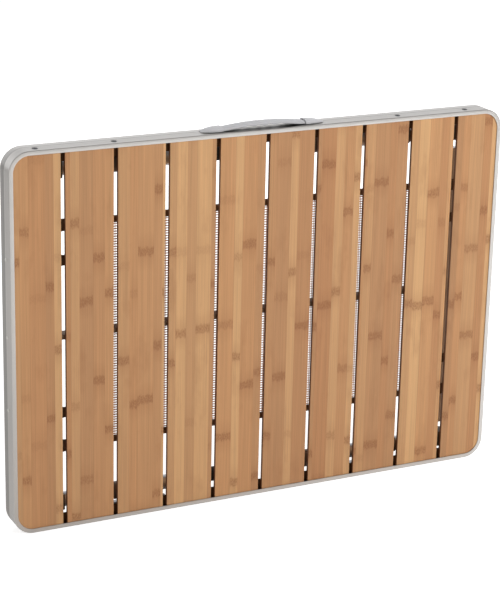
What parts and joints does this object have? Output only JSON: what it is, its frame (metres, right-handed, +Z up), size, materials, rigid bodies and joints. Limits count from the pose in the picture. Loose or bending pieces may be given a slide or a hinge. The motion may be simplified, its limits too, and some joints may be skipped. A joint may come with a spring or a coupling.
{
  "type": "folding camping table",
  "caption": "Folding camping table: slatted bamboo top in a rounded aluminium rim, fold-out telescopic legs with folding braces, storage net and carrying handle, shown folded on edge.",
  "frame": {"origin": "under the middle of the lower long edge, on the surface that the folded table stands on", "axes": "+X along the long edges to the right of the picture, -Y out of the slatted face towards the viewer, +Z up towards the carrying handle"},
  "size_m": [0.9, 0.044, 0.6584],
  "materials": {
    "rim_aluminium": "satin anodised",
    "rail_aluminium": "satin anodised",
    "leg_tube": "satin anodised",
    "inner_tube": "bright anodised",
    "bamboo": "laminated strips, matt lacquer",
    "steel": "zinc plated",
    "moulding": "fine textured",
    "grip_rubber": "soft moulded",
    "grip_cap": "smooth moulded",
    "foot_rubber": "matt",
    "mesh_net": "knitted mesh",
    "webbing": "woven"
  },
  "bodies": {
    "root": {"frame_rim": "rim_aluminium", "slat_01": "bamboo", "slat_02": "bamboo", "slat_03": "bamboo", "slat_04": "bamboo", "slat_05": "bamboo", "slat_06": "bamboo", "slat_07": "bamboo", "slat_08": "bamboo", "slat_09": "bamboo", "slat_10": "bamboo", "centre_rail": "rail_aluminium", "storage_net": "mesh_net", "handle_cap_left": "grip_cap", "handle_cap_right": "grip_cap", "side_plate_left_bottom": "steel", "side_plate_left_top": "steel", "side_plate_right_bottom": "steel", "side_plate_right_top": "steel"},
    "handle": {"carry_handle": "grip_rubber"},
    "leg_frame_left": {"leg_cross_member_left": "leg_tube", "leg_head_left_bottom": "moulding", "outer_tube_left_bottom": "leg_tube", "brace_saddle_left_bottom": "moulding", "net_strap_left_bottom": "webbing", "leg_head_left_top": "moulding", "outer_tube_left_top": "leg_tube", "brace_saddle_left_top": "moulding", "net_strap_left_top": "webbing"},
    "leg_frame_right": {"leg_cross_member_right": "leg_tube", "leg_head_right_bottom": "moulding", "outer_tube_right_bottom": "leg_tube", "brace_saddle_right_bottom": "moulding", "net_strap_right_bottom": "webbing", "leg_head_right_top": "moulding", "outer_tube_right_top": "leg_tube", "brace_saddle_right_top": "moulding", "net_strap_right_top": "webbing"},
    "collar_left_bottom": {"twist_collar_left_bottom": "moulding"},
    "leg_extension_left_bottom": {"inner_tube_left_bottom": "inner_tube", "foot_left_bottom": "foot_rubber"},
    "brace_frame_link_left_bottom": {"brace_link_frame_left_bottom": "steel"},
    "brace_leg_link_left_bottom": {"brace_link_leg_left_bottom": "steel"},
    "collar_left_top": {"twist_collar_left_top": "moulding"},
    "leg_extension_left_top": {"inner_tube_left_top": "inner_tube", "foot_left_top": "foot_rubber"},
    "brace_frame_link_left_top": {"brace_link_frame_left_top": "steel"},
    "brace_leg_link_left_top": {"brace_link_leg_left_top": "steel"},
    "collar_right_bottom": {"twist_collar_right_bottom": "moulding"},
    "leg_extension_right_bottom": {"inner_tube_right_bottom": "inner_tube", "foot_right_bottom": "foot_rubber"},
    "brace_frame_link_right_bottom": {"brace_link_frame_right_bottom": "steel"},
    "brace_leg_link_right_bottom": {"brace_link_leg_right_bottom": "steel"},
    "collar_right_top": {"twist_collar_right_top": "moulding"},
    "leg_extension_right_top": {"inner_tube_right_top": "inner_tube", "foot_right_top": "foot_rubber"},
    "brace_frame_link_right_top": {"brace_link_frame_right_top": "steel"},
    "brace_leg_link_right_top": {"brace_link_leg_right_top": "steel"}
  },
  "joints": [
    {"name": "handle_lift", "type": "slide", "parent": "root", "child": "handle", "axis": [0, 0, 1], "range_m": [0, 0.003]},
    {"name": "left_leg_fold", "type": "hinge", "parent": "root", "child": "leg_frame_left", "pos_m": [-0.401, -0.0065, 0.324], "axis": [0, 0, 1], "range_deg": [0, 90]},
    {"name": "right_leg_fold", "type": "hinge", "parent": "root", "child": "leg_frame_right", "pos_m": [0.383, -0.0065, 0.324], "axis": [0, 0, -1], "range_deg": [0, 90]},
    {"name": "collar_twist_left_bottom", "type": "hinge", "parent": "leg_frame_left", "child": "collar_left_bottom", "pos_m": [-0.146, 0.0065, 0.039], "axis": [1, 0, 0], "range_deg": [0, 90]},
    {"name": "leg_slide_left_bottom", "type": "slide", "parent": "leg_frame_left", "child": "leg_extension_left_bottom", "axis": [1, 0, 0], "range_m": [0, 0.105]},
    {"name": "brace_anchor_left_bottom", "type": "hinge", "parent": "root", "child": "brace_frame_link_left_bottom", "pos_m": [-0.268, -0.0065, 0.012], "axis": [0, 0, 1], "range_deg": [0, 135.8]},
    {"name": "brace_stud_left_bottom", "type": "hinge", "parent": "leg_frame_left", "child": "brace_leg_link_left_bottom", "pos_m": [-0.276, 0.0065, 0.017], "axis": [0, 0, -1], "range_deg": [0, 126.7]},
    {"name": "collar_twist_left_top", "type": "hinge", "parent": "leg_frame_left", "child": "collar_left_top", "pos_m": [-0.146, 0.0065, 0.609], "axis": [1, 0, 0], "range_deg": [0, 90]},
    {"name": "leg_slide_left_top", "type": "slide", "parent": "leg_frame_left", "child": "leg_extension_left_top", "axis": [1, 0, 0], "range_m": [0, 0.105]},
    {"name": "brace_anchor_left_top", "type": "hinge", "parent": "root", "child": "brace_frame_link_left_top", "pos_m": [-0.268, -0.0065, 0.636], "axis": [0, 0, 1], "range_deg": [0, 135.8]},
    {"name": "brace_stud_left_top", "type": "hinge", "parent": "leg_frame_left", "child": "brace_leg_link_left_top", "pos_m": [-0.276, 0.0065, 0.631], "axis": [0, 0, -1], "range_deg": [0, 126.7]},
    {"name": "collar_twist_right_bottom", "type": "hinge", "parent": "leg_frame_right", "child": "collar_right_bottom", "pos_m": [0.128, 0.0065, 0.039], "axis": [-1, 0, 0], "range_deg": [0, 90]},
    {"name": "leg_slide_right_bottom", "type": "slide", "parent": "leg_frame_right", "child": "leg_extension_right_bottom", "axis": [-1, 0, 0], "range_m": [0, 0.105]},
    {"name": "brace_anchor_right_bottom", "type": "hinge", "parent": "root", "child": "brace_frame_link_right_bottom", "pos_m": [0.25, -0.0065, 0.012], "axis": [0, 0, -1], "range_deg": [0, 135.8]},
    {"name": "brace_stud_right_bottom", "type": "hinge", "parent": "leg_frame_right", "child": "brace_leg_link_right_bottom", "pos_m": [0.258, 0.0065, 0.017], "axis": [0, 0, 1], "range_deg": [0, 126.7]},
    {"name": "collar_twist_right_top", "type": "hinge", "parent": "leg_frame_right", "child": "collar_right_top", "pos_m": [0.128, 0.0065, 0.609], "axis": [-1, 0, 0], "range_deg": [0, 90]},
    {"name": "leg_slide_right_top", "type": "slide", "parent": "leg_frame_right", "child": "leg_extension_right_top", "axis": [-1, 0, 0], "range_m": [0, 0.105]},
    {"name": "brace_anchor_right_top", "type": "hinge", "parent": "root", "child": "brace_frame_link_right_top", "pos_m": [0.25, -0.0065, 0.636], "axis": [0, 0, -1], "range_deg": [0, 135.8]},
    {"name": "brace_stud_right_top", "type": "hinge", "parent": "leg_frame_right", "child": "brace_leg_link_right_top", "pos_m": [0.258, 0.0065, 0.631], "axis": [0, 0, 1], "range_deg": [0, 126.7]}
  ],
  "couplings": [
    {"joint": "brace_anchor_left_bottom", "follows": "left_leg_fold", "ratio": 1.5077},
    {"joint": "brace_stud_left_bottom", "follows": "left_leg_fold", "ratio": 1.4062},
    {"joint": "brace_anchor_left_top", "follows": "left_leg_fold", "ratio": 1.5077},
    {"joint": "brace_stud_left_top", "follows": "left_leg_fold", "ratio": 1.4062},
    {"joint": "brace_anchor_right_bottom", "follows": "right_leg_fold", "ratio": 1.5077},
    {"joint": "brace_stud_right_bottom", "follows": "right_leg_fold", "ratio": 1.4062},
    {"joint": "brace_anchor_right_top", "follows": "right_leg_fold", "ratio": 1.5077},
    {"joint": "brace_stud_right_top", "follows": "right_leg_fold", "ratio": 1.4062}
  ]
}
